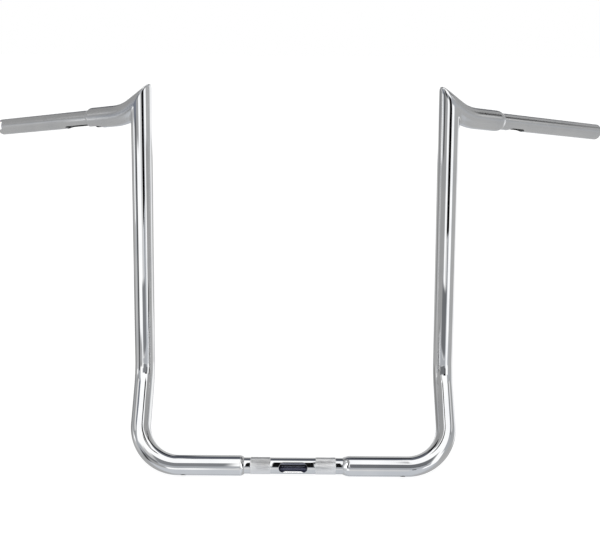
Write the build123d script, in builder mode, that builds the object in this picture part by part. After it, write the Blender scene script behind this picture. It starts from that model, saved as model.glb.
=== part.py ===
"""Pointed ape hanger handlebar, welded from bent fat tube and one-inch tube.

Millimetres and degrees. The origin is the middle of the clamp tube's axis. +X points to the
rider's left, +Y back towards the rider and +Z up along the uprights.
"""

from build123d import *

import os
from dataclasses import dataclass
from math import cos, radians, sin, tan

# Tube sections
fat_diameter = 31.75
clamp_diameter = 25.4
clamp_wall = 2.6
control_diameter = 25.4
control_wall = 2.6
spigot_step = 0.3
slip_clearance = 0.1
spigot_length = 22.0

# Clamp tube
knurl_spacing = 102.0
knurl_length = 31.0
knurl_height = 0.2
clamp_slot_length = 44.5
clamp_slot_width = 15.9
clamp_slot_angle = 10.0
slot_edge_round = 0.6

# Base, leg and upright
base_corner_x = 244.5
base_bend_radius = 65.0
leg_lean_angle = 41.5
pullback_height = 114.0
pullback_bend_radius = 60.0
upright_inward_angle = 2.0
peak_height = 550.0
drain_x = 172.0
drain_diameter = 8.0
drain_angle = 30.0

# Arm and control end
arm_sweep_angle = 31.5
arm_droop_angle = 32.0
arm_corner = 38.0
arm_bend_radius = 100.0
arm_run = 74.0
grip_droop_angle = 8.0
control_slot_width = 15.9
control_slot_angle = 170.0
end_round = 1.0

# Ground shoulders at the ends of the fat tubes, long and domed or short and steep
left_shoulder_x = 78.0
left_shoulder_length = 12.0
right_shoulder_x = 76.5
right_shoulder_length = 4.0
shoulder_lip = 0.3

# Control ends and their wiring slots, which start before or beyond the arm's tip
left_control_length = 226.0
left_slot_start = 15.0
left_slot_length = 36.0
right_control_length = 208.0
right_slot_start = -28.0
right_slot_length = 82.0

# Notch that keys the throttle
notch_width = 13.5
notch_depth = 10.0
notch_corner = 2.0
notch_angle = 72.0


@dataclass(frozen=True)
class Side:
    """Sizes that differ between the clutch side and the throttle side."""

    name: str
    shoulder_x: float
    shoulder_length: float
    control_length: float
    slot_start: float
    slot_length: float
    throttle: bool
    mirrored: bool


left = Side(
    name="left",
    shoulder_x=left_shoulder_x,
    shoulder_length=left_shoulder_length,
    control_length=left_control_length,
    slot_start=left_slot_start,
    slot_length=left_slot_length,
    throttle=False,
    mirrored=False,
)
right = Side(
    name="right",
    shoulder_x=right_shoulder_x,
    shoulder_length=right_shoulder_length,
    control_length=right_control_length,
    slot_start=right_slot_start,
    slot_length=right_slot_length,
    throttle=True,
    mirrored=True,
)

# Radii that follow from the sections above
fat_radius = fat_diameter / 2
clamp_radius = clamp_diameter / 2
clamp_bore = clamp_radius - clamp_wall
clamp_spigot = clamp_radius - spigot_step
upright_bore = clamp_spigot + slip_clearance
control_radius = control_diameter / 2
control_bore = control_radius - control_wall
control_spigot = control_radius - spigot_step
arm_bore = control_spigot + slip_clearance


def arm_direction(droop: float) -> Vector:
    """Unit vector out along the rider's left arm, swept back and drooped."""
    level = Vector(cos(radians(arm_sweep_angle)), sin(radians(arm_sweep_angle)), 0)
    return level * cos(radians(droop)) - Vector(0, 0, sin(radians(droop)))


# Corners of the centre line on the rider's left
base_corner = Vector(base_corner_x, 0, 0)
pullback_corner = base_corner + Vector(0, tan(radians(leg_lean_angle)), 1) * pullback_height
upright_slope = Vector(-tan(radians(upright_inward_angle)), 0, 1)
peak = pullback_corner + upright_slope * (peak_height - pullback_height)
peak_direction = arm_direction(arm_droop_angle)
grip_direction = arm_direction(grip_droop_angle)
grip_corner = peak + peak_direction * arm_corner
arm_tip = grip_corner + grip_direction * arm_run

# Mitre plane across the peak, and how far the tubes run past it before they are cut
mitre = Plane(peak, z_dir=upright_slope.normalized() + peak_direction)
mitre_overrun = 2 * fat_diameter

# Grip plane at the arm's tip: local X up, local Y to the front, local Z out along the grip
grip_up = Vector(0, 0, 1) - grip_direction * grip_direction.Z
grip = Plane(arm_tip, x_dir=grip_up, z_dir=grip_direction)
grip_axis = Axis(grip.origin, grip.z_dir)


def tube_section(plane: Plane, outer: float, bore: float) -> Sketch:
    """Ring section of a tube, on a plane."""
    with BuildSketch(plane) as section:
        Circle(outer)
        Circle(bore, mode=Mode.SUBTRACT)
    return section.sketch


def shoulder_profile(plane: Plane, tip_radius: float, length: float) -> Sketch:
    """Profile ground off a fat tube's end, on a plane with X out of the end and Y away from the axis."""
    with BuildSketch(plane) as profile:
        with BuildLine():
            slope = TangentArc((-length, fat_radius), (0, tip_radius), tangent=(1, 0))
            Polyline(
                slope @ 1,
                (length, tip_radius),
                (length, fat_diameter),
                (-length, fat_diameter),
                slope @ 0,
            )
        make_face()
    return profile.sketch


def grip_cut_plane(angle: float) -> Plane:
    """Plane through the grip's axis that faces away from it, at an angle from up to the front."""
    facing = grip.x_dir * cos(radians(angle)) + grip.y_dir * sin(radians(angle))
    return Plane(grip.origin, x_dir=grip.z_dir, z_dir=facing)


def control_slot(side: Side) -> Sketch:
    """Outline of the wiring slot under the grip, from its start beyond the arm's tip."""
    with BuildSketch(grip_cut_plane(control_slot_angle)) as outline:
        with Locations((side.slot_start + side.slot_length / 2, 0)):
            SlotOverall(side.slot_length, control_slot_width)
    return outline.sketch


def throttle_notch(control_length: float) -> Sketch:
    """Outline of the notch in the throttle end, run out past the end."""
    with BuildSketch(grip_cut_plane(notch_angle)) as outline:
        with Locations((control_length, 0)):
            RectangleRounded(2 * notch_depth, notch_width, notch_corner)
    return outline.sketch


def make_clamp_tube() -> Part:
    """Turned middle tube with knurl bands and spigots, and the wiring slot in front."""
    knurl_in = (knurl_spacing - knurl_length) / 2
    knurl_out = (knurl_spacing + knurl_length) / 2
    knurl_radius = clamp_radius + knurl_height
    left_end = left.shoulder_x + spigot_length
    right_end = -right.shoulder_x - spigot_length
    with BuildPart() as clamp_tube:
        with BuildSketch(Plane.XZ):
            with BuildLine():
                Polyline(
                    (right_end, clamp_bore),
                    (right_end, clamp_spigot),
                    (-right.shoulder_x, clamp_spigot),
                    (-right.shoulder_x, clamp_radius),
                    (-knurl_out, clamp_radius),
                    (-knurl_out, knurl_radius),
                    (-knurl_in, knurl_radius),
                    (-knurl_in, clamp_radius),
                    (knurl_in, clamp_radius),
                    (knurl_in, knurl_radius),
                    (knurl_out, knurl_radius),
                    (knurl_out, clamp_radius),
                    (left.shoulder_x, clamp_radius),
                    (left.shoulder_x, clamp_spigot),
                    (left_end, clamp_spigot),
                    (left_end, clamp_bore),
                    close=True,
                )
            make_face()
        revolve(axis=Axis.X)
        with BuildSketch(Plane.XZ.rotated((-clamp_slot_angle, 0, 0))):
            SlotOverall(clamp_slot_length, clamp_slot_width)
        extrude(amount=clamp_diameter, mode=Mode.SUBTRACT)
        mid_wall = clamp_radius - clamp_wall / 2
        slot_edges = clamp_tube.edges(Select.LAST)
        fillet(
            slot_edges.filter_by(lambda edge: (edge @ 0.5).cross(Vector(1, 0, 0)).length > mid_wall),
            radius=slot_edge_round,
        )
    return clamp_tube.part


def make_upright(side: Side) -> Part:
    """Fat tube from the clamp shoulder round both bends to the mitred peak."""
    shoulder = Vector(side.shoulder_x, 0, 0)
    drain_facing = Vector(0, -sin(radians(drain_angle)), -cos(radians(drain_angle)))
    with BuildPart() as upright:
        with BuildLine() as centre_line:
            FilletPolyline(
                shoulder,
                base_corner,
                pullback_corner,
                peak + upright_slope * mitre_overrun,
                radius=[base_bend_radius, pullback_bend_radius],
            )
        sweep(tube_section(Plane.YZ.offset(side.shoulder_x), fat_radius, upright_bore), centre_line.line)
        split(bisect_by=mitre, keep=Keep.BOTTOM)
        shoulder_plane = Plane(shoulder, x_dir=(-1, 0, 0), z_dir=(0, 1, 0))
        tip_radius = clamp_radius + shoulder_lip
        ground_off = shoulder_profile(shoulder_plane, tip_radius, side.shoulder_length)
        revolve(ground_off, Axis.X, mode=Mode.SUBTRACT)
        with BuildSketch(Plane((drain_x, 0, 0), x_dir=(1, 0, 0), z_dir=drain_facing)):
            Circle(drain_diameter / 2)
        extrude(amount=fat_diameter, mode=Mode.SUBTRACT)
        if side.mirrored:
            mirror(about=Plane.YZ, mode=Mode.REPLACE)
    return upright.part


def make_arm(side: Side) -> Part:
    """Fat tube from the mitred peak round the bend to the shoulder where the control end starts."""
    with BuildPart() as arm:
        with BuildLine() as centre_line:
            FilletPolyline(
                peak - peak_direction * mitre_overrun,
                grip_corner,
                arm_tip,
                radius=[arm_bend_radius],
            )
        start = Plane(centre_line.line @ 0, z_dir=peak_direction)
        sweep(tube_section(start, fat_radius, arm_bore), centre_line.line)
        split(bisect_by=mitre, keep=Keep.TOP)
        shoulder_plane = Plane(arm_tip, x_dir=grip.z_dir, z_dir=grip.y_dir)
        tip_radius = control_radius + shoulder_lip
        ground_off = shoulder_profile(shoulder_plane, tip_radius, side.shoulder_length)
        revolve(ground_off, grip_axis, mode=Mode.SUBTRACT)
        extrude(control_slot(side), amount=fat_diameter, mode=Mode.SUBTRACT)
        if side.mirrored:
            mirror(about=Plane.YZ, mode=Mode.REPLACE)
    return arm.part


def make_control_end(side: Side) -> Part:
    """One-inch tube for the grip, with its spigot in the arm and its wiring slot underneath."""
    with BuildPart() as control_end:
        extrude(tube_section(grip, control_radius, control_bore), amount=side.control_length)
        end_edges = control_end.edges().group_by(grip_axis)[-1]
        fillet(end_edges.sort_by(SortBy.RADIUS)[-1], radius=end_round)
        extrude(tube_section(grip, control_spigot, control_bore), amount=-spigot_length)
        extrude(control_slot(side), amount=fat_diameter, mode=Mode.SUBTRACT)
        if side.throttle:
            extrude(throttle_notch(side.control_length), amount=fat_diameter, mode=Mode.SUBTRACT)
        if side.mirrored:
            mirror(about=Plane.YZ, mode=Mode.REPLACE)
    return control_end.part


pieces = {"clamp_tube": make_clamp_tube()}
for side in (left, right):
    pieces[f"{side.name}_upright"] = make_upright(side)
    pieces[f"{side.name}_arm"] = make_arm(side)
    pieces[f"{side.name}_control_end"] = make_control_end(side)

os.makedirs("parts", exist_ok=True)
for name, piece in pieces.items():
    piece.label = name
    export_step(piece, f"parts/{name}.step")
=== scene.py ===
"""Looks of the pointed ape hanger handlebar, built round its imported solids.

Tube sizes are in millimetres, the studio is in metres and angles are in degrees.
"""

import logging
from dataclasses import dataclass
from enum import Enum, IntEnum
from math import asin, cos, pi, radians, sin, sqrt, tan

import bpy
from bpy.types import ID, Material, Mesh, Node, NodeSocket, NodeTree, Object, World
from mathutils import Matrix, Quaternion, Vector


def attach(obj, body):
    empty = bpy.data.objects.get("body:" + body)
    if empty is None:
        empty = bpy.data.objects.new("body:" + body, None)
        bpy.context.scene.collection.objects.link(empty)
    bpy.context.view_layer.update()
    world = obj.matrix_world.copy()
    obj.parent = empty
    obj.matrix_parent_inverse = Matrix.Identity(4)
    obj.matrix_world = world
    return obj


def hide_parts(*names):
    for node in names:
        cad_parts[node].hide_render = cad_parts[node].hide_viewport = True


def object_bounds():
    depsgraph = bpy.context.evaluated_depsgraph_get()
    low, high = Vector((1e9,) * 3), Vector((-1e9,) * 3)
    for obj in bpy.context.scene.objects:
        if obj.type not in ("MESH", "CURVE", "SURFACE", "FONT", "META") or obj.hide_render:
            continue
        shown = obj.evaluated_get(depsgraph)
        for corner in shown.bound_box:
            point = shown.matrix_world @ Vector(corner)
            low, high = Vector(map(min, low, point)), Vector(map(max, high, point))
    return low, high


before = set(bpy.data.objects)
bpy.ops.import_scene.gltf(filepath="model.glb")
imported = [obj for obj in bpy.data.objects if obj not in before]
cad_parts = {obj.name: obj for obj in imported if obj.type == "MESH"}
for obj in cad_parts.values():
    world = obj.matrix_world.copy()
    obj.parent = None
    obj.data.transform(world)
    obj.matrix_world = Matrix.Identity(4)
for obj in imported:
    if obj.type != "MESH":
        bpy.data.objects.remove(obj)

log = logging.getLogger("handlebar")
CAD_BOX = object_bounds()
MM = 0.001

# How far into a tube's wall the painted shade of its bore reaches, in millimetres
BORE_MARGIN = 0.4

Colour = tuple[float, float, float]
Point = tuple[float, float, float]
Face = tuple[int, ...]
Feed = NodeSocket | float | Colour
Ends = tuple[Feed, Feed]
Sockets = dict[str, NodeSocket]
Kinds = dict[str, str]

NEUTRAL = (1.0, 1.0, 1.0)
COOL = (0.95, 0.98, 1.03)
BLUISH = (0.9, 0.97, 1.14)


def tinted(level: float, tint: Colour) -> Colour:
    """Radiance of a level in a tint."""
    return tuple(level * part for part in tint)


def make_mesh(name: str, points: list[Point], faces: list[Face]) -> Mesh:
    """Makes a mesh.

    Args:
        name: Name of the mesh.
        points: Its points, in metres.
        faces: Numbers of the points round each face.

    Returns:
        The mesh.
    """
    mesh = bpy.data.meshes.new(name)
    mesh.from_pydata(points, [], faces)
    return mesh


def put_in_scene(name: str, data: ID) -> Object:
    """Makes an object in the scene.

    Args:
        name: Name of the object.
        data: Its mesh or camera.

    Returns:
        The object.
    """
    item = bpy.data.objects.new(name, data)
    bpy.context.scene.collection.objects.link(item)
    return item


class Wiring:
    """Places and links the nodes of one tree."""

    # Places of the factor and the two colours on a mix node, and of the mixed colour
    MIX_INPUTS = (0, 6, 7)
    MIX_RESULT = 2

    def __init__(self, tree: NodeTree) -> None:
        """Keeps the tree that the nodes go into."""
        self.tree = tree

    @classmethod
    def blank(cls, owner: Material | World) -> "Wiring":
        """Empties the tree of a material or a world.

        Args:
            owner: The material or world.

        Returns:
            The tree's wiring.
        """
        owner.use_nodes = True
        owner.node_tree.nodes.clear()
        return cls(owner.node_tree)

    def node(self, kind: str, *feeds: Feed, **settings: object) -> Node:
        """Adds a node.

        Args:
            kind: Node type without its ShaderNode prefix.
            *feeds: What feeds its first inputs, in order.
            **settings: Properties of the node, such as its operation.

        Returns:
            The new node.
        """
        node = self.tree.nodes.new("ShaderNode" + kind)
        for name, value in settings.items():
            setattr(node, name, value)
        for socket, value in zip(node.inputs, feeds):
            self.feed(socket, value)
        return node

    def feed(self, socket: NodeSocket, value: Feed) -> None:
        """Links a socket to another, or sets its number or colour.

        Args:
            socket: The input.
            value: What feeds it.
        """
        if isinstance(value, NodeSocket):
            self.tree.links.new(value, socket)
        elif isinstance(value, tuple) and socket.type == "RGBA":
            socket.default_value = (*value, 1.0)
        else:
            socket.default_value = value

    def math(self, operation: str, *values: Feed) -> NodeSocket:
        """Adds a math node fed with sockets or numbers; returns its output."""
        return self.node("Math", *values, operation=operation).outputs[0]

    def vector(self, operation: str, *values: Feed) -> Node:
        """Adds a vector math node fed with sockets or vectors; returns the node."""
        return self.node("VectorMath", *values, operation=operation)

    def ramp(self, value: Feed, low: Feed, high: Feed, ends: Ends = (0.0, 1.0)) -> NodeSocket:
        """Adds a smooth ramp from one end to the other as a value goes from low to high."""
        node = self.node("MapRange", value, low, high, *ends, interpolation_type="SMOOTHSTEP")
        return node.outputs[0]

    def mix(self, *values: Feed) -> NodeSocket:
        """Mixes two colours.

        Args:
            *values: The factor and the two colours.

        Returns:
            The mixed colour.
        """
        node = self.node("Mix", data_type="RGBA")
        for place, value in zip(self.MIX_INPUTS, values):
            self.feed(node.inputs[place], value)
        return node.outputs[self.MIX_RESULT]

    def feed_named(self, node: Node, **values: Feed) -> Node:
        """Feeds inputs of a node by their names.

        Args:
            node: The node.
            **values: What feeds each input, with _ for a space in its name.

        Returns:
            The node.
        """
        for name, value in values.items():
            self.feed(node.inputs[name.replace("_", " ")], value)
        return node

    def group(self, tree: NodeTree, **values: Feed) -> Node:
        """Places a node group and feeds its inputs by their names; returns the node."""
        return self.feed_named(self.node("Group", node_tree=tree), **values)

    def noise(self, place: Feed, scale: Feed, detail: float) -> NodeSocket:
        """Adds a noise texture; returns its value."""
        node = self.node("TexNoise")
        return self.feed_named(node, Vector=place, Scale=scale, Detail=detail).outputs[0]


class Effects:
    """Node groups that more than one material or light uses, each built once."""

    # Share of the radius at which a bore's painted shade starts to fade out
    BORE_FADE = 0.97
    HAZE_DETAIL = 4.0
    HAZE_RANGE = (0.35, 0.75)
    MARK_STRETCH = (1400.0, 1400.0, 60.0)
    MARK_DETAIL = 2.0
    MARK_RANGE = (0.55, 0.8)
    RIPPLE_DETAIL = 1.0

    def __init__(self) -> None:
        """Builds all the groups."""
        self.studio_patch = self.make_studio_patch()
        self.soft_panel = self.make_soft_panel()
        self.inside_tube = self.make_inside_tube()
        self.polish = self.make_polish()

    @staticmethod
    def open_group(name: str, inputs: Kinds, outputs: Kinds) -> tuple[Wiring, Sockets, Sockets]:
        """Starts a node group.

        Args:
            name: Name of the group.
            inputs: Socket kind by input name.
            outputs: Socket kind by output name.

        Returns:
            The wiring, and the group's inputs and results by name.
        """
        tree = bpy.data.node_groups.new(name, "ShaderNodeTree")
        for direction, sockets in (("INPUT", inputs), ("OUTPUT", outputs)):
            for socket, kind in sockets.items():
                tree.interface.new_socket(socket, in_out=direction, socket_type="NodeSocket" + kind)
        feeds = tree.nodes.new("NodeGroupInput").outputs
        results = tree.nodes.new("NodeGroupOutput").inputs
        given = {name: feeds[name] for name in inputs}
        result = {name: results[name] for name in outputs}
        return Wiring(tree), given, result

    def make_studio_patch(self) -> NodeTree:
        """Makes the group of one soft-edged patch over what is behind it.

        Returns:
            The group's tree, with a colour.
        """
        numbers = ("Across", "Along", "Centre", "Half Width", "Middle", "Half Height", "Edge")
        sockets = {name: "Float" for name in numbers} | {"Behind": "Color", "Patch": "Color"}
        wires, given, result = self.open_group("studio_patch", sockets, {"Colour": "Color"})

        def inside(distance: NodeSocket, half: str) -> NodeSocket:
            """Smooth 0 to 1 from outside to inside of a half width."""
            room = wires.math("SUBTRACT", given[half], distance)
            return wires.ramp(wires.math("DIVIDE", room, given["Edge"]), -0.5, 0.5)

        turned = wires.math("SUBTRACT", given["Across"], given["Centre"])
        across = wires.math("ABSOLUTE", wires.math("WRAP", turned, 180.0, -180.0))
        along = wires.math("ABSOLUTE", wires.math("SUBTRACT", given["Along"], given["Middle"]))
        mask = wires.math("MULTIPLY", inside(across, "Half Width"), inside(along, "Half Height"))
        wires.feed(result["Colour"], wires.mix(mask, given["Behind"], given["Patch"]))
        return wires.tree

    def make_soft_panel(self) -> NodeTree:
        """Makes the group of a panel whose edges fade out.

        Returns:
            The group's tree, with a mask.
        """
        sockets = {"Place": "Vector", "Edge": "Float"}
        wires, given, result = self.open_group("soft_panel", sockets, {"Mask": "Float"})
        parts = wires.node("SeparateXYZ", given["Place"])
        masks = []
        for part in parts.outputs[:2]:
            off_middle = wires.math("ABSOLUTE", wires.math("SUBTRACT", part, 0.5))
            masks.append(wires.ramp(wires.math("SUBTRACT", 0.5, off_middle), 0.0, given["Edge"]))
        wires.feed(result["Mask"], wires.math("MULTIPLY", *masks))
        return wires.tree

    def make_inside_tube(self) -> NodeTree:
        """Makes the group that masks a tube's bore for its painted shade, by the distance from the tube's
        axis.

        Returns:
            The group's tree, with a mask.
        """
        sockets = {"Place": "Vector", "On Axis": "Vector", "Direction": "Vector", "Radius": "Float"}
        wires, given, result = self.open_group("inside_tube", sockets, {"Mask": "Float"})
        arm = wires.vector("SUBTRACT", given["Place"], given["On Axis"]).outputs[0]
        across = wires.vector("CROSS_PRODUCT", arm, given["Direction"]).outputs[0]
        distance = wires.vector("LENGTH", across).outputs["Value"]
        share = wires.math("DIVIDE", distance, given["Radius"])
        wires.feed(result["Mask"], wires.ramp(share, self.BORE_FADE, 1.0, (1.0, 0.0)))
        return wires.tree

    def make_polish(self) -> NodeTree:
        """Makes the group of what a polishing mop leaves on plate.

        Returns:
            The group's tree, with haze, wipe marks and ripple.
        """
        sockets = {"Place": "Vector", "Haze Size": "Float", "Ripple Size": "Float"}
        outputs = {"Haze": "Float", "Marks": "Float", "Ripple": "Float"}
        wires, given, result = self.open_group("polish", sockets, outputs)
        place = given["Place"]
        haze_scale = wires.math("DIVIDE", 1.0, given["Haze Size"])
        haze = wires.noise(place, haze_scale, self.HAZE_DETAIL)
        wires.feed(result["Haze"], wires.ramp(haze, *self.HAZE_RANGE))
        stretched = wires.vector("MULTIPLY", place, self.MARK_STRETCH).outputs[0]
        marks = wires.noise(stretched, 1.0, self.MARK_DETAIL)
        wires.feed(result["Marks"], wires.ramp(marks, *self.MARK_RANGE))
        ripple_scale = wires.math("DIVIDE", 1.0, given["Ripple Size"])
        wires.feed(result["Ripple"], wires.noise(place, ripple_scale, self.RIPPLE_DETAIL))
        return wires.tree


@dataclass(frozen=True)
class Bore:
    """Where a tube is open inside and its shade is painted: a point on its axis, its direction and its
    radius, in metres.
    """

    on_axis: Point
    direction: Point
    radius: float


@dataclass(frozen=True)
class ChromePlate:
    """Polished chrome on steel, with dull, dark painted shade inside the tube where a bore is given."""

    name: str
    colour: Colour = (0.8, 0.805, 0.81)
    shade: Colour = (0.74, 0.75, 0.765)
    roughness: float = 0.025
    haze: float = 0.02
    haze_size: float = 0.05
    ripple: float = 0.00002
    ripple_size: float = 0.03
    painted_bore_shade: Colour = (0.02, 0.021, 0.028)
    bore_roughness: float = 0.5
    mark_share: float = 0.5

    def make(self, effects: Effects, bore: Bore | None = None) -> Material:
        """Builds the material.

        Args:
            effects: The shared node groups.
            bore: The tube's bore, where shade is painted inside, unless its faces have their own material.

        Returns:
            The material.
        """
        material = bpy.data.materials.new(self.name)
        material.use_nodes = True
        wires = Wiring(material.node_tree)
        shader = material.node_tree.nodes["Principled BSDF"]
        place = wires.node("TexCoord").outputs["Object"]
        sizes = {"Haze_Size": self.haze_size, "Ripple_Size": self.ripple_size}
        polish = wires.group(effects.polish, Place=place, **sizes)
        haze, marks = polish.outputs["Haze"], polish.outputs["Marks"]
        colour = wires.mix(haze, self.colour, self.shade)
        worn = wires.math("MULTIPLY_ADD", marks, self.mark_share, haze)
        dullness = wires.math("MULTIPLY", worn, self.haze)
        roughness = wires.math("ADD", dullness, self.roughness)
        # Painted shade: the bore goes dark and dull by the inside-tube mask
        if bore is not None:
            tube = {"On_Axis": bore.on_axis, "Direction": bore.direction, "Radius": bore.radius}
            inside = wires.group(effects.inside_tube, Place=place, **tube).outputs["Mask"]
            colour = wires.mix(inside, colour, self.painted_bore_shade)
            roughness = wires.ramp(inside, 0.0, 1.0, (roughness, self.bore_roughness))
        bump = wires.feed_named(wires.node("Bump"), Distance=self.ripple, Height=polish.outputs["Ripple"])
        normal = bump.outputs[0]
        wires.feed_named(shader, Base_Color=colour, Metallic=1.0, Roughness=roughness, Normal=normal)
        return material


# The clamp tube's bore gets a bluish grey painted shade
CLAMP_CHROME = ChromePlate("clamp_chrome", painted_bore_shade=(0.36, 0.37, 0.44), bore_roughness=0.2)
KNURL_CHROME = ChromePlate("knurl_chrome", (0.97, 0.97, 0.97), (0.92, 0.925, 0.93), roughness=0.32)
LIP_CHROME = ChromePlate("lip_chrome", (0.95, 0.95, 0.95), (0.9, 0.9, 0.91), roughness=0.12)


class Span(Enum):
    """How a patch of the studio is measured, seen from the bar."""

    COMPASS = "azimuth and elevation"
    PITCH = "side angle and pitch"


@dataclass(frozen=True)
class Patch:
    """Soft-edged patch of the far studio that the chrome shows.

    Azimuth is 0 towards the camera and grows towards +X. Pitch is 0 towards the camera, 90 overhead
    and 180 behind the bar.
    """

    name: str
    across: float
    width: float
    along: float
    height: float
    level: float
    edge: float = 6.0
    tint: Colour = NEUTRAL
    span: Span = Span.COMPASS


class Facing(Enum):
    """Which way a studio panel faces."""

    SIDE = "along X"
    FRONT = "along Y"


@dataclass(frozen=True)
class Panel:
    """Card or flag that stands near the bar, in metres. The chrome alone shows it."""

    name: str
    middle: Point
    width: float
    height: float
    level: float
    edge: float = 0.1
    tint: Colour = NEUTRAL
    facing: Facing = Facing.FRONT


# Each patch lies over those before it: across, width, along, height, level, edge and tint
FAR_STUDIO = (
    Patch("floor", 0, 400, -60, 64, 0.6, 10, COOL),
    Patch("backdrop", 180, 76, 2, 40, 1.15, 8),
    Patch("dark ceiling behind", 0, 90, 136, 70, 0.1, 10, BLUISH, Span.PITCH),
    Patch("ceiling overhead", 0, 90, 111, 24, 0.17, 8, BLUISH, Span.PITCH),
    Patch("left wall, high", -110, 80, 30, 44, 0.36, 12),
    Patch("right wall, high", 110, 80, 30, 44, 0.42, 12),
    Patch("left wall, low", -112, 92, -46, 56, 0.47, 10),
    Patch("right wall, low", 112, 92, -46, 56, 0.5, 10),
    Patch("left side", -98, 40, -10, 24, 0.62, 8),
    Patch("left wall, shade", -126, 40, -11, 24, 0.3, 8),
    Patch("overhead softbox", 0, 80, 60, 84, 1.25, 5, span=Span.PITCH),
    Patch("gap left of the softbox", -45, 11, 66, 36, 0.2, 5, span=Span.PITCH),
    Patch("gap right of the softbox", 50, 9, 66, 36, 0.25, 5, span=Span.PITCH),
    Patch("window high left", -59, 16, 70, 34, 0.9, 6, span=Span.PITCH),
    Patch("window high right", 62, 12, 72, 34, 0.9, 6, span=Span.PITCH),
    Patch("softbox, left corner", -34, 26, 26, 22, 0.62, 8),
    Patch("dark gap behind left", -114, 64, 51, 18, 0.004, 4),
    Patch("dark gap, left end", -74, 20, 41, 10, 0.06, 4),
    Patch("dark gap behind right", 134, 84, 49, 11, 0.004, 4),
    Patch("dark gap, right end", 102, 22, 37, 16, 0.01, 4),
    Patch("lamp boom", 9.5, 5, 75, 24, 0.03, 2, span=Span.PITCH),
    Patch("front wall", -12, 28, 7, 16, 0.5, 6, COOL),
    Patch("front corner", -39, 20, 6, 18, 0.22, 6, COOL),
    Patch("front table", -4, 110, -48, 86, 0.7, 8, COOL),
    Patch("front sheet, grey", -38, 26, -12, 22, 0.42, 6),
    Patch("front sheet", -14, 18, -12, 22, 1.25, 5),
    Patch("front floor", 2, 14, -14, 26, 0.78, 5),
    Patch("dark doorway left", -58, 15, -11, 26, 0.08, 6),
    Patch("right side", 80, 48, -14, 28, 0.48, 8),
    Patch("right back", 132, 44, -12, 26, 1.1, 8),
)

# Each card has its middle, width, height, level, edge as a share of the card, and tint
NEAR_STUDIO = (
    Panel("white card left", (-3.0, -0.19, 0.02), 0.62, 0.54, 1.3, facing=Facing.SIDE),
    Panel("white strip left", (-0.364, -0.09, 0.28), 0.13, 0.4, 1.25),
    Panel("black flag", (0.725, -2.23, 0.39), 1.16, 1.34, 0.005, 0.03),
    Panel("black flag foot", (0.79, -2.23, -0.42), 0.26, 0.36, 0.06),
    Panel("white card right", (1.31, -1.2, 0.0), 1.06, 1.2, 1.25),
    Panel("grey card behind", (0.025, 0.5, 0.2), 0.55, 0.44, 0.55),
    Panel("grey card at the left grip", (-0.6, 0.23, 0.33), 0.26, 0.36, 0.47, facing=Facing.SIDE),
    Panel("grey card at the left arm", (-0.75, -0.17, 0.62), 0.4, 0.34, 0.24, 0.1, BLUISH, Facing.SIDE),
    Panel("grey card front left", (-0.2, -0.16, 0.12), 0.21, 0.17, 0.27, 0.14, COOL),
    Panel("grey card front right", (0.1925, -0.16, 0.115), 0.275, 0.16, 0.2, 0.14, COOL),
    Panel("pale card front left", (-0.2, -0.162, 0.013), 0.21, 0.056, 0.52, 0.05, COOL),
    Panel("pale card front right", (0.1925, -0.162, 0.013), 0.275, 0.056, 0.5, 0.05, COOL),
    Panel("grey card between the legs", (0.051, -0.04, 0.27), 0.22, 0.36, 0.4, facing=Facing.SIDE),
    Panel("black card over the legs", (0.051, -0.33, 0.81), 0.46, 0.56, 0.04, facing=Facing.SIDE),
    Panel("black card at the slot", (0.0, -0.05, 0.09), 0.072, 0.17, 0.006, 0.05),
    Panel("white card at the left knurl", (-0.051, -0.06, 0.05), 0.03, 0.1, 2.2),
    Panel("white card at the right knurl", (0.051, -0.06, 0.05), 0.03, 0.1, 2.2),
    Panel("black card at the left collar", (-0.072, -0.05, 0.06), 0.011, 0.1, 0.006, 0.06),
    Panel("black card at the right collar", (0.0725, -0.05, 0.06), 0.012, 0.1, 0.006, 0.06),
)


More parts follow.
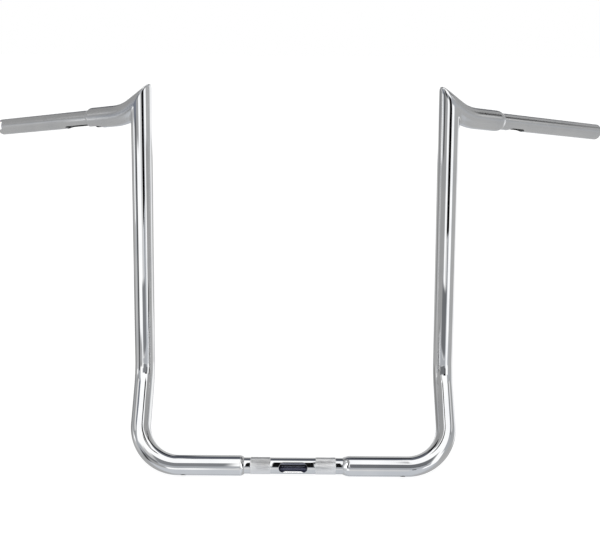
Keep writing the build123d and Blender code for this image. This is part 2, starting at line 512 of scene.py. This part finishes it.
@dataclass
class Studio:
    """White sweep, soft surroundings and the camera at the photograph's place."""

    effects: Effects
    surround_level: float = 0.5
    floor_drop: float = 0.0006
    floor_reach: float = 12.0
    floor_glow: float = 0.87
    floor_grey: float = 0.3
    lens_mm: float = 51.0
    sensor_mm: float = 36.0
    camera_at: Point = (0.008893, -1.18453, 0.686734)
    camera_right: Point = (0.999974, 0.002201, 0.006864)
    camera_up: Point = (-0.007208, 0.305305, 0.952227)

    def make_camera(self) -> None:
        """Places the camera as the photograph was taken."""
        data = bpy.data.cameras.new("camera")
        data.lens = self.lens_mm
        data.sensor_width = self.sensor_mm
        data.sensor_fit = "HORIZONTAL"
        camera = put_in_scene("camera", data)
        right, up = Vector(self.camera_right), Vector(self.camera_up)
        turn = Matrix((right, up, right.cross(up))).transposed().to_4x4()
        camera.matrix_world = Matrix.Translation(self.camera_at) @ turn
        bpy.context.scene.camera = camera

    def make_surround(self) -> None:
        """Makes a world that is plain white to the camera and soft patches to the chrome."""
        world = bpy.data.worlds.new("studio")
        wires = Wiring.blank(world)
        axes = wires.node("SeparateXYZ", wires.node("TexCoord").outputs["Generated"])
        across, up = axes.outputs["X"], axes.outputs["Z"]
        ahead = wires.math("MULTIPLY", axes.outputs["Y"], -1.0)

        def degrees(operation: str, *parts: Feed) -> NodeSocket:
            """Angle in degrees from the parts of a direction."""
            return wires.math("DEGREES", wires.math(operation, *parts))

        angles = {
            Span.COMPASS: (degrees("ARCTAN2", across, ahead), degrees("ARCSINE", up)),
            Span.PITCH: (degrees("ARCSINE", across), degrees("ARCTAN2", up, ahead)),
        }
        seen: Feed = tinted(self.surround_level, COOL)
        for patch in FAR_STUDIO:
            side_angle, height_angle = angles[patch.span]
            node = wires.group(
                self.effects.studio_patch,
                Across=side_angle,
                Along=height_angle,
                Centre=patch.across,
                Half_Width=patch.width / 2,
                Middle=patch.along,
                Half_Height=patch.height / 2,
                Edge=patch.edge,
                Behind=seen,
                Patch=tinted(patch.level, patch.tint),
            )
            node.label = patch.name
            seen = node.outputs["Colour"]
        to_camera = wires.node("LightPath").outputs["Is Camera Ray"]
        light = wires.node("Background", wires.mix(to_camera, seen, NEUTRAL))
        wires.node("OutputWorld", light.outputs[0])
        bpy.context.scene.world = world

    def make_sheet(self, name: str, corners: list[Point]) -> tuple[Object, Wiring]:
        """Makes a flat four-cornered stage sheet.

        Args:
            name: Name of the sheet.
            corners: Its corners in order, in metres.

        Returns:
            The sheet, with a map from 0 to 1 across it, and its material's wiring.
        """
        mesh = make_mesh(name, corners, [(0, 1, 2, 3)])
        flat = mesh.uv_layers.new(name="sheet")
        for loop, spot in zip(flat.data, ((0, 0), (1, 0), (1, 1), (0, 1))):
            loop.uv = spot
        material = bpy.data.materials.new(name)
        mesh.materials.append(material)
        sheet = put_in_scene(name, mesh)
        return sheet, Wiring.blank(material)

    def make_floor(self) -> None:
        """Lays a white floor just under the base tube, which keeps a faint shadow."""
        low = CAD_BOX[0].z - self.floor_drop
        reach = self.floor_reach
        around = ((-1, -1), (1, -1), (1, 1), (-1, 1))
        corners = [(x * reach, y * reach, low) for x, y in around]
        floor, wires = self.make_sheet("floor", corners)
        paper = wires.node("BsdfDiffuse", tinted(self.floor_grey, NEUTRAL))
        to_camera = wires.node("LightPath").outputs["Is Camera Ray"]
        glow = wires.node("Emission", NEUTRAL, wires.math("MULTIPLY", to_camera, self.floor_glow))
        both = wires.node("AddShader", paper.outputs[0], glow.outputs[0])
        wires.node("OutputMaterial", both.outputs[0])
        floor.visible_glossy = False

    def make_panel(self, panel: Panel) -> None:
        """Stands one card or flag near the bar, where only reflections reach it.

        Args:
            panel: The card.
        """
        half = panel.width / 2
        wide = Vector((0, half, 0) if panel.facing is Facing.SIDE else (half, 0, 0))
        high = Vector((0, 0, panel.height / 2))
        foot = Vector(panel.middle) - high
        head = Vector(panel.middle) + high
        name = panel.name.replace(" ", "_")
        corners = [foot - wide, foot + wide, head + wide, head - wide]
        sheet, wires = self.make_sheet(name, corners)
        spot = wires.node("TexCoord").outputs["UV"]
        mask = wires.group(self.effects.soft_panel, Place=spot, Edge=panel.edge).outputs["Mask"]
        glow = wires.node("Emission", tinted(panel.level, panel.tint))
        clear = wires.node("BsdfTransparent")
        blend = wires.node("MixShader", mask, clear.outputs[0], glow.outputs[0])
        wires.node("OutputMaterial", blend.outputs[0])
        for rays in ("camera", "diffuse", "shadow", "transmission"):
            setattr(sheet, f"visible_{rays}", False)

    def build(self) -> None:
        """Sets up the camera, the surroundings, the floor and the cards."""
        self.make_camera()
        self.make_surround()
        self.make_floor()
        for panel in NEAR_STUDIO:
            self.make_panel(panel)
            log.info("stood %s", panel.name)


@dataclass(frozen=True)
class Side:
    """Sizes that differ between the clutch side and the throttle side, in millimetres.

    The weld ring is measured from the shoulder's end, the wiring slot from the arm's tip, and the
    ease of the ground peak from its ridge, at the back and at the front.
    """

    name: str
    mirrored: bool
    shoulder_x: float
    shoulder_length: float
    weld_start: float
    weld_end: float
    slot_start: float
    slot_length: float
    peak_ease: float
    front_ease: float

    @property
    def flip(self) -> Vector:
        """Scale that brings the rider's left to this side."""
        return Vector((-1, 1, 1) if self.mirrored else (1, 1, 1))

    def outward(self, faces: list[Face]) -> list[Face]:
        """Faces of the rider's left in the order that faces outwards on this side."""
        return [face[::-1] for face in faces] if self.mirrored else faces


LEFT = Side(
    name="left",
    mirrored=False,
    shoulder_x=78.0,
    shoulder_length=12.0,
    weld_start=0.0,
    weld_end=4.8,
    slot_start=15.0,
    slot_length=36.0,
    peak_ease=10.0,
    front_ease=24.0,
)
RIGHT = Side(
    name="right",
    mirrored=True,
    shoulder_x=76.5,
    shoulder_length=7.0,
    weld_start=4.0,
    weld_end=6.5,
    slot_start=-28.0,
    slot_length=82.0,
    peak_ease=6.5,
    front_ease=6.0,
)


def bearing(sweep: float, droop: float) -> Vector:
    """Unit vector out along the rider's left arm, swept back and drooped."""
    level = Vector((cos(radians(sweep)), sin(radians(sweep)), 0))
    return level * cos(radians(droop)) - Vector((0, 0, sin(radians(droop))))


def bridge(rows: list[int], around: int) -> list[Face]:
    """Lays four-cornered faces between loops of points.

    Args:
        rows: Numbers of the loops, in order.
        around: Points in each loop.

    Returns:
        The faces, row by row.
    """
    faces = []
    for row, after in zip(rows, rows[1:]):
        here, there = row * around, after * around
        for k in range(around):
            nxt = (k + 1) % around
            faces.append((here + k, here + nxt, there + nxt, there + k))
    return faces


def add_piece(name: str, mesh: Mesh, finishes: list[Material]) -> Object:
    """Adds a mesh to the bar as a piece, attached to its root, with its materials.

    Args:
        name: Name of the piece.
        mesh: Its mesh.
        finishes: Its materials, as its faces count them.

    Returns:
        The piece.
    """
    piece = put_in_scene(name, mesh)
    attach(piece, "root")
    for finish in finishes:
        mesh.materials.append(finish)
    log.info("built %s with %d faces", name, len(mesh.polygons))
    return piece


@dataclass
class Ring:
    """Section of a tube: its middle, the way it runs and its two cross directions."""

    middle: Vector
    ahead: Vector
    out: Vector
    side: Vector

    def at(self, radius: float, turn: float) -> Vector:
        """Point on the section at an angle from out to side, in radians."""
        return self.middle + (self.out * cos(turn) + self.side * sin(turn)) * radius

    def moved(self, distance: float) -> "Ring":
        """The section further along a straight run."""
        return Ring(self.middle + self.ahead * distance, self.ahead, self.out, self.side)

    def bent(self, centre: Vector, turn: Quaternion) -> "Ring":
        """The section turned about a bend's centre."""
        middle = centre + turn @ (self.middle - centre)
        return Ring(middle, turn @ self.ahead, turn @ self.out, turn @ self.side)


class TubeFinish(IntEnum):
    """Finishes of a bent tube, by their place among its materials."""

    OUTSIDE = 0
    # Inner wall, painted near black for the shade inside the tube
    BORE = 1
    WELD = 2
    ARM = 3


TUBE_PLATES = {
    TubeFinish.OUTSIDE: ChromePlate("fat_tube_chrome"),
    # Near-black painted shade on the bore and on the cut walls of holes
    TubeFinish.BORE: ChromePlate("bore_wall_painted_shade", (0.03, 0.031, 0.036), (0.015, 0.015, 0.018), 0.5, haze=0.2),
    TubeFinish.WELD: ChromePlate("weld_chrome", (0.9, 0.9, 0.9), (0.82, 0.83, 0.84), roughness=0.3),
    TubeFinish.ARM: ChromePlate("arm_chrome", roughness=0.22),
}


@dataclass
class Wall:
    """One wall of a bent tube: its loops of points, and the rows where the finish changes."""

    loops: list[list[Vector]]
    weld_rows: list[int]
    arm_row: int


@dataclass
class BentTube:
    """Fat tube of one side: upright and arm, welded at the peak and ground smooth there.

    Sizes are in millimetres, the peak's reach and the span searched for the mitre in radii of the
    tube, and the inset at which a cut starts in radii of the bore.
    """

    side: Side
    fat_radius: float = 15.875
    bore_radius: float = 12.5
    tip_radius: float = 13.0
    base_corner_x: float = 244.5
    base_bend_radius: float = 65.0
    leg_lean: float = 41.5
    pullback_height: float = 114.0
    pullback_bend_radius: float = 60.0
    upright_inward: float = 2.0
    peak_height: float = 550.0
    arm_sweep: float = 31.5
    arm_droop: float = 32.0
    arm_corner: float = 38.0
    arm_bend_radius: float = 100.0
    arm_run: float = 74.0
    grip_droop: float = 8.0
    drain_x: float = 172.0
    drain_diameter: float = 8.0
    drain_angle: float = 40.0
    slot_width: float = 15.9
    slot_angle: float = 170.0
    cut_inset: float = 0.25
    bore_ease: float = 2.0
    peak_reach: float = 2.4
    mitre_span: tuple[float, float] = (-2.0, 2.5)
    mitre_halvings: int = 40
    shoulder_lead: tuple[float, float] = (3.0, 0.5)
    shoulder_gap: float = 1.0
    sharp_angle: float = 32.0
    around: int = 128
    step: float = 6.0
    bend_step: float = 2.5
    ease_steps: int = 16
    straight_steps: int = 6
    shoulder_steps: int = 14
    drain_steps: int = 32
    slot_steps: int = 24

    def __post_init__(self) -> None:
        """Works out the centre line on the rider's left, and both tubes' sections at the peak."""
        self.base_corner = Vector((self.base_corner_x, 0, 0))
        lean = Vector((0, tan(radians(self.leg_lean)), 1))
        self.pullback_corner = self.base_corner + lean * self.pullback_height
        slope = Vector((-tan(radians(self.upright_inward)), 0, 1))
        self.peak = self.pullback_corner + slope * (self.peak_height - self.pullback_height)
        self.rise = slope.normalized()
        self.fall = bearing(self.arm_sweep, self.arm_droop)
        self.grip = bearing(self.arm_sweep, self.grip_droop)
        grip_corner = self.peak + self.fall * self.arm_corner
        self.arm_tip = grip_corner + self.grip * self.arm_run
        self.arm_turn = self.fall.angle(self.grip)
        self.mitre = (self.rise + self.fall).normalized()
        toward = (self.fall - self.rise * self.fall.dot(self.rise)).normalized()
        normal = self.rise.cross(self.fall).normalized()
        over_peak = Quaternion(normal, self.rise.angle(self.fall))
        self.under = Ring(self.peak, self.rise, -toward, normal)
        self.over = Ring(self.peak, self.fall, over_peak @ -toward, normal)
        self.reach = self.peak_reach * self.fat_radius

    def run(self, start: Ring, corners: list[Vector], radii: list[float]) -> list[Ring]:
        """Sections along straight runs joined by bends.

        Args:
            start: First section, on the line to the first corner.
            corners: The corners, and last the end of the line.
            radii: Bend radius at each corner.

        Returns:
            The sections in order.
        """
        rings = [start]
        for place, corner in enumerate(corners):
            ring = rings[-1]
            length = (corner - ring.middle).dot(ring.ahead)
            last = place == len(corners) - 1
            if not last:
                ahead = (corners[place + 1] - corner).normalized()
                turn = ring.ahead.angle(ahead)
                length -= radii[place] * tan(turn / 2)
            count = max(1, round(length / self.step))
            rings += [ring.moved(length * (k + 1) / count) for k in range(count)]
            if last:
                break
            ring = rings[-1]
            axis = ring.ahead.cross(ahead).normalized()
            centre = ring.middle + axis.cross(ring.ahead) * radii[place]
            count = max(2, round(turn / radians(self.bend_step)))
            rings += [ring.bent(centre, Quaternion(axis, turn * (k + 1) / count)) for k in range(count)]
        return rings

    def arm_ring(self, distance: float) -> Ring:
        """Section of the arm.

        Args:
            distance: How far past the peak, along the arm.

        Returns:
            The section there.
        """
        straight = self.arm_corner - self.arm_bend_radius * tan(self.arm_turn / 2)
        if distance <= straight:
            return self.over.moved(distance)
        ring = self.over.moved(straight)
        axis = self.fall.cross(self.grip).normalized()
        centre = ring.middle + axis.cross(self.fall) * self.arm_bend_radius
        bent = min((distance - straight) / self.arm_bend_radius, self.arm_turn)
        beyond = distance - straight - bent * self.arm_bend_radius
        return ring.bent(centre, Quaternion(axis, bent)).moved(beyond)

    @property
    def arm_length(self) -> float:
        """Length of the arm's centre line from the peak to its tip."""
        saved = self.arm_bend_radius * (2 * tan(self.arm_turn / 2) - self.arm_turn)
        return self.arm_corner + self.arm_run - saved

    def mitre_distance(self, radius: float, turn: float) -> float:
        """Distance past the peak at which a line along the arm leaves the mitre, by halving.

        Args:
            radius: Radius of the wall.
            turn: Where the line is round the tube, in radians.

        Returns:
            The distance along the arm.
        """
        low, high = (share * self.fat_radius for share in self.mitre_span)
        for _ in range(self.mitre_halvings):
            middle = (low + high) / 2
            if (self.arm_ring(middle).at(radius, turn) - self.peak).dot(self.mitre) < 0:
                low = middle
            else:
                high = middle
        return (low + high) / 2

    @property
    def dome_radius(self) -> float:
        """Radius of the round that grinds a fat tube's end down to the tube inside it."""
        drop = self.fat_radius - self.tip_radius
        return (self.side.shoulder_length**2 + drop**2) / (2 * drop)

    def ground_radius(self, short_of_end: float) -> float:
        """Outside radius near a fat tube's end, where the shoulder is ground.

        Args:
            short_of_end: Distance from the end, along the tube.

        Returns:
            The radius there.
        """
        share = self.side.shoulder_length - short_of_end
        if share <= 0:
            return self.fat_radius
        return self.fat_radius - self.dome_radius + sqrt(self.dome_radius**2 - share**2)

    def wall(self, radius: float, ease: float, ground: bool) -> Wall:
        """Lays one wall of the tube, from the clamp shoulder to the arm's tip.

        Args:
            radius: Radius of the wall.
            ease: How far from the peak's ridge the grinding starts.
            ground: Whether the wall's ends are ground to shoulders.

        Returns:
            The wall.
        """
        turns = [2 * pi * k / self.around for k in range(self.around)]

        def loop(ring: Ring, short_of_end: float) -> list[Vector]:
            """Points round one section away from the peak."""
            size = self.ground_radius(short_of_end) if ground else radius
            return [ring.at(size, turn) for turn in turns]

        below = self.under.moved(-self.reach)
        top = Ring(below.middle, -self.rise, below.out, below.side)
        shoulder = Vector((self.side.shoulder_x, 0, 0))
        corners = [self.pullback_corner, self.base_corner, shoulder]
        down = self.run(top, corners, [self.pullback_bend_radius, self.base_bend_radius])
        rings = self.with_shoulder(down)[::-1]
        start, end = self.side.weld_start, self.side.weld_end
        weld_rows = [row for row, (_, short) in enumerate(rings) if start <= short < end]
        loops = [loop(ring, short) for ring, short in rings]
        lines = [self.peak_line(radius, ease, turn) for turn in turns]
        arm_row = len(loops) + self.straight_steps + self.ease_steps // 2
        loops += [list(points) for points in zip(*lines)]
        rest = self.arm_length - self.reach
        count = round(rest / self.step)
        arm = [self.arm_ring(self.reach + rest * k / count) for k in range(count + 1)]
        loops += [loop(ring, short) for ring, short in self.with_shoulder(arm)[1:]]
        return Wall(loops, weld_rows, arm_row)

    def with_shoulder(self, rings: list[Ring]) -> list[tuple[Ring, float]]:
        """Adds finer sections where the shoulder is ground.

        Args:
            rings: Sections along a line that ends at a shoulder.

        Returns:
            The sections with their distances from the line's end.
        """
        end = rings[-1]
        length = self.side.shoulder_length
        count = self.shoulder_steps
        sweep = asin(length / self.dome_radius)
        lead = [length + extra for extra in self.shoulder_lead]
        weld = [edge for edge in (self.side.weld_end, self.side.weld_start) if edge > 0]
        ground = [length - self.dome_radius * sin(sweep * k / count) for k in range(count + 1)]
        fine = sorted({round(short, 3) for short in [*lead, *weld, *ground]}, reverse=True)
        far = [(ring, (end.middle - ring.middle).length) for ring in rings]
        kept = [(ring, short) for ring, short in far if short > fine[0] + self.shoulder_gap]
        return kept + [(end.moved(-short), short) for short in fine]

    def peak_line(self, radius: float, ease: float, turn: float) -> list[Vector]:
        """One line of points up the upright, over the ground ridge and out along the arm.

        Args:
            radius: Radius of the wall.
            ease: How far from the ridge the grinding starts.
            turn: Where the line is round the tube, in radians.

        Returns:
            The points within reach of the peak, without the first and with the last.
        """
        on_upright = self.under.at(radius, turn)
        to_front = max(0.0, -(on_upright - self.peak).y / radius)
        ease += (self.side.front_ease - self.side.peak_ease) * to_front**2
        rise_to = -(on_upright - self.peak).dot(self.mitre) / self.rise.dot(self.mitre)
        leave_at = self.mitre_distance(radius, turn)
        low = rise_to - ease
        high = leave_at + ease
        count = self.straight_steps
        up_to = [-self.reach + (low + self.reach) * (k + 1) / count for k in range(count)]
        points = [on_upright + self.rise * height for height in up_to]
        first, corner = points[-1], on_upright + self.rise * rise_to
        last = self.arm_ring(high).at(radius, turn)
        corner_after = self.arm_ring(leave_at).at(radius, turn)
        for k in range(1, self.ease_steps):
            done = k / self.ease_steps
            to_go = 1 - done
            rising = first * to_go**3 + corner * (3 * done * to_go**2)
            falling = corner_after * (3 * done * done * to_go) + last * done**3
            points.append(rising + falling)
        out_to = [high + (self.reach - high) * k / count for k in range(count + 1)]
        points += [self.arm_ring(distance).at(radius, turn) for distance in out_to]
        return points

    def make_mesh(self) -> Mesh:
        """Makes the closed tube out of its two walls.

        Returns:
            The mesh, with a finish for each row of faces.
        """
        outside = self.wall(self.fat_radius, self.side.peak_ease, True)
        inside = self.wall(self.bore_radius, self.bore_ease, False)
        loops = outside.loops + inside.loops[::-1]
        points = [point * self.side.flip * MM for loop in loops for point in loop]
        faces = bridge([*range(len(loops)), 0], self.around)
        mesh = make_mesh(f"{self.side.name}_bent_tube", points, self.side.outward(faces))
        rows = len(outside.loops)
        finishes = [TubeFinish.OUTSIDE] * len(loops)
        for finish, where in (
            (TubeFinish.BORE, range(rows, len(loops) - 1)),
            (TubeFinish.WELD, outside.weld_rows),
            (TubeFinish.ARM, range(outside.arm_row, rows - 1)),
        ):
            for row in where:
                finishes[row] = finish
        per_face = [int(finish) for finish in finishes for _ in range(self.around)]
        mesh.polygons.foreach_set("material_index", per_face)
        mesh.shade_smooth()
        return mesh

    def cut(self, piece: Object, outline: list[Vector], middle: Vector, facing: Vector) -> None:
        """Cuts a straight-sided hole out through the wall.

        Args:
            piece: The tube, which gets a new mesh.
            outline: Points round the hole, from its middle.
            middle: Middle of the hole on the tube's axis.
            facing: Which way it goes out.
        """
        count = len(outline)
        start = middle + facing * self.bore_radius * self.cut_inset
        ends = (start, start + facing * 2 * self.fat_radius)
        points = [(end + point) * self.side.flip * MM for end in ends for point in outline]
        faces = [tuple(range(count))[::-1], tuple(range(count, 2 * count)), *bridge([0, 1], count)]
        mesh = make_mesh("cutter", points, self.side.outward(faces))
        # The hole's walls take the bore's painted shade
        mesh.materials.append(piece.data.materials[TubeFinish.BORE])
        cutter = put_in_scene("cutter", mesh)
        knife = piece.modifiers.new("cut", "BOOLEAN")
        knife.operation = "DIFFERENCE"
        knife.solver = "EXACT"
        knife.object = cutter
        seen = piece.evaluated_get(bpy.context.evaluated_depsgraph_get())
        cut_mesh = bpy.data.meshes.new_from_object(seen)
        piece.modifiers.clear()
        piece.data = cut_mesh
        bpy.data.objects.remove(cutter)

    def cut_drain(self, piece: Object) -> None:
        """Cuts the drain hole under the base tube.

        Args:
            piece: The tube.
        """
        tilt = radians(self.drain_angle)
        facing = Vector((0, -sin(tilt), -cos(tilt)))
        along = Vector((1, 0, 0))
        across = facing.cross(along)
        radius = self.drain_diameter / 2
        turns = [2 * pi * k / self.drain_steps for k in range(self.drain_steps)]
        outline = [(along * cos(turn) + across * sin(turn)) * radius for turn in turns]
        self.cut(piece, outline, along * self.drain_x, facing)

    def cut_slot(self, piece: Object) -> None:
        """Cuts the wiring slot that runs back under the arm.

        Args:
            piece: The tube.
        """
        up = (Vector((0, 0, 1)) - self.grip * self.grip.z).normalized()
        tilt = radians(self.slot_angle)
        facing = up * cos(tilt) + self.grip.cross(up) * sin(tilt)
        across = facing.cross(self.grip)
        radius = self.slot_width / 2
        half = self.side.slot_length / 2 - radius
        arc = [pi * k / self.slot_steps - pi / 2 for k in range(self.slot_steps + 1)]
        ahead = [self.grip * (half + radius * cos(turn)) + across * radius * sin(turn) for turn in arc]
        outline = ahead + [-point for point in ahead]
        middle = self.arm_tip + self.grip * (self.side.slot_start + self.side.slot_length / 2)
        self.cut(piece, outline, middle, facing)

    def build(self, finishes: list[Material]) -> None:
        """Builds the tube in place of its upright and arm.

        Args:
            finishes: Its materials, in the order of the tube's finishes.
        """
        name = self.side.name
        piece = add_piece(f"{name}_bent_tube", self.make_mesh(), finishes)
        self.cut_drain(piece)
        if self.side.slot_start < 0:
            self.cut_slot(piece)
        piece.data.set_sharp_from_angle(angle=radians(self.sharp_angle))
        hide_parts(f"{name}_upright", f"{name}_arm")


@dataclass
class KnurlBand:
    """Diamond knurl rolled round the clamp tube where a riser grips it, in millimetres."""

    name: str
    middle: float
    length: float = 31.0
    tube_radius: float = 12.7
    root_radius: float = 12.93
    tip_radius: float = 13.17
    pitch: float = 1.6
    chamfer: float = 0.5

    def make_mesh(self) -> Mesh:
        """Makes a closed ring of pyramids: even points are tips, odd points the furrows between.

        Returns:
            The mesh.
        """
        around = 2 * round(2 * pi * self.root_radius / self.pitch)
        along = 2 * round(self.length / self.pitch)
        start = self.middle - self.length / 2
        turns = [2 * pi * k / around for k in range(around)]
        points, faces = [], []

        def spot(row: int, column: int) -> int:
            """Number of a point of the knurl."""
            return row * around + column % around

        def ring(x: float, radii: list[float]) -> None:
            """Adds one loop of points."""
            for radius, turn in zip(radii, turns):
                points.append((x * MM, radius * sin(turn) * MM, radius * cos(turn) * MM))

        for row in range(along + 1):
            radii = [self.root_radius] * around
            if 0 < row < along:
                for column in range(row % 2, around, 2):
                    radii[column] = self.tip_radius
            ring(start + self.length * row / along, radii)
        for row in range(along + 1):
            for column in range(row % 2, around, 2):
                tip = spot(row, column)
                before, after = spot(row, column - 1), spot(row, column + 1)
                if row < along:
                    faces += [(tip, spot(row + 1, column), after), (tip, before, spot(row + 1, column))]
                if row > 0:
                    faces += [(tip, after, spot(row - 1, column)), (tip, spot(row - 1, column), before)]
        inner = self.tube_radius - self.chamfer
        loops = [along]
        for x, radius in (
            (start + self.length + self.chamfer, self.tube_radius),
            (start + self.length, inner),
            (start, inner),
            (start - self.chamfer, self.tube_radius),
        ):
            loops.append(len(points) // around)
            ring(x, [radius] * around)
        loops.append(0)
        faces += [face[::-1] for face in bridge(loops, around)]
        mesh = make_mesh(self.name, points, faces)
        mesh.shade_flat()
        return mesh

    def build(self, chrome: Material) -> None:
        """Builds the band in a finish."""
        add_piece(self.name, self.make_mesh(), [chrome])


@dataclass
class SlotLip:
    """Bevelled lip along the lower edge of the clamp tube's wiring slot, in millimetres."""

    tube_radius: float = 12.66
    slot_width: float = 15.9
    slot_angle: float = 10.0
    length: float = 33.0
    taper: float = 4.0
    bevel: float = 1.7
    end_bevel: float = 0.17

    def build(self, chrome: Material) -> None:
        """Builds the lip as a closed three-sided strip.

        Args:
            chrome: Its finish.
        """
        tilt = radians(self.slot_angle)
        facing = Vector((0, -cos(tilt), sin(tilt)))
        across = Vector((0, sin(tilt), cos(tilt)))
        low = self.slot_width / 2
        edge = facing * sqrt(self.tube_radius**2 - low**2) - across * low
        half = self.length / 2
        thin = self.end_bevel / self.bevel
        stops = ((-half, thin), (self.taper - half, 1.0), (half - self.taper, 1.0), (half, thin))
        loops = []
        for along, share in stops:
            outer = Vector((along, 0, 0)) + edge
            inner = outer - facing * self.bevel * share
            loops.append([outer, inner + across * self.bevel * share, inner])
        points = [point * MM for loop in loops for point in loop]
        last = len(points) - 1
        faces = [(0, 1, 2), (last, last - 1, last - 2)]
        faces += [face[::-1] for face in bridge([*range(len(loops))], len(loops[0]))]
        add_piece("slot_lip", make_mesh("slot_lip", points, faces), [chrome])


@dataclass
class ClampTube:
    """Middle tube for the risers, with its knurl bands and its slot's lip, in millimetres."""

    effects: Effects
    bore_radius: float = 10.1
    knurl_spacing: float = 102.0

    def build(self) -> None:
        """Dresses the tube, rolls the knurls and bevels the slot."""
        # The bore's shade is painted through the clamp chrome's inside-tube mask
        bore = Bore((0, 0, 0), (1, 0, 0), (self.bore_radius + BORE_MARGIN) * MM)
        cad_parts["clamp_tube"].data.materials[0] = CLAMP_CHROME.make(self.effects, bore)
        knurl_chrome = KNURL_CHROME.make(self.effects)
        for side in (LEFT, RIGHT):
            middle = side.flip.x * self.knurl_spacing / 2
            KnurlBand(f"{side.name}_knurl", middle).build(knurl_chrome)
        SlotLip().build(LIP_CHROME.make(self.effects))
        log.info("dressed clamp_tube")


@dataclass
class ControlEnd:
    """One-inch tube for the grip and the controls, in millimetres."""

    effects: Effects
    side: Side
    tube: BentTube
    bore_radius: float = 10.1
    roughness: float = 0.2

    def build(self) -> None:
        """Dresses the tube, with dull, dark painted shade inside."""
        on_axis = tuple(self.tube.arm_tip * self.side.flip * MM)
        direction = tuple(self.tube.grip * self.side.flip)
        bore = Bore(on_axis, direction, (self.bore_radius + BORE_MARGIN) * MM)
        name = f"{self.side.name}_control_end"
        finish = ChromePlate(f"{self.side.name}_control_chrome", roughness=self.roughness)
        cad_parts[name].data.materials[0] = finish.make(self.effects, bore)
        log.info("dressed %s", name)


def main() -> None:
    """Builds the studio and dresses every piece of the bar."""
    logging.basicConfig(level=logging.INFO, format="%(message)s")
    bpy.context.scene.view_settings.view_transform = "Standard"
    effects = Effects()
    Studio(effects).build()
    finishes = [TUBE_PLATES[finish].make(effects) for finish in TubeFinish]
    ClampTube(effects).build()
    for side in (LEFT, RIGHT):
        tube = BentTube(side)
        tube.build(finishes)
        ControlEnd(effects, side, tube).build()


if __name__ == "__main__":
    main()
